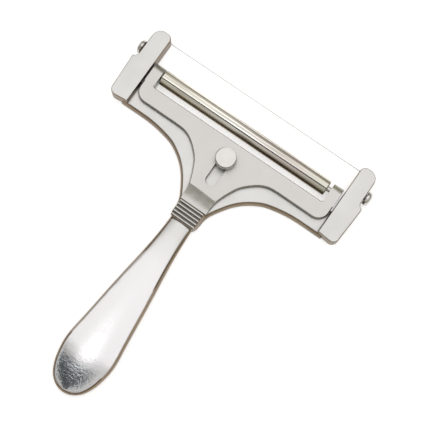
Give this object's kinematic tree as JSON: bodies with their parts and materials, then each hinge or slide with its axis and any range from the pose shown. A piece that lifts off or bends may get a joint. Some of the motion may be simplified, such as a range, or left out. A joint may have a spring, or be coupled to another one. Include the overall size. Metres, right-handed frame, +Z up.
{
  "type": "wire cheese cutter",
  "caption": "Hand-held wire cheese cutter with a tapered metal handle, a stretched wire between two arms and a sliding roller clamped by a thumb screw.",
  "frame": {"origin": "middle of the bounding box at its lowest face, with the tool lying on its flat back", "axes": "+Y from the handle towards the cutting wire, +X along the wire to the right seen from above, +Z up out of the face with the thumb screw"},
  "size_m": [0.1458, 0.1818, 0.0139],
  "materials": {
    "plated_casting": "bright plated casting with soft reflections",
    "plated_plate": "bright plated plate, slightly duller",
    "polished_tube": "polished tube",
    "bright_steel": "bright steel",
    "wire_steel": "drawn wire",
    "bush_plastic": "dark moulded plastic"
  },
  "bodies": {
    "frame": {"frame_casting": "plated_casting", "cutting_wire": "wire_steel", "wire_washer_left": "bright_steel", "wire_washer_right": "bright_steel", "wire_screw_left": "bright_steel", "wire_screw_right": "bright_steel"},
    "carriage": {"roller_carriage": "plated_plate", "roller_axle": "bright_steel"},
    "roller": {"roller_tube": "polished_tube", "roller_bush_left": "bush_plastic", "roller_bush_right": "bush_plastic"},
    "clamp": {"thumb_screw": "bright_steel"}
  },
  "joints": [
    {"name": "carriage_slide", "type": "slide", "parent": "frame", "child": "carriage", "axis": [0, 1, 0], "range_m": [0, 0.0115]},
    {"name": "roller_spin", "type": "hinge", "parent": "carriage", "child": "roller", "pos_m": [0, 0.0709, 0.0046], "axis": [1, 0, 0], "continuous": true},
    {"name": "thumb_screw_turn", "type": "hinge", "parent": "frame", "child": "clamp", "pos_m": [0, 0.0527, 0], "axis": [0, 0, 1], "range_deg": [0, 360]}
  ]
}
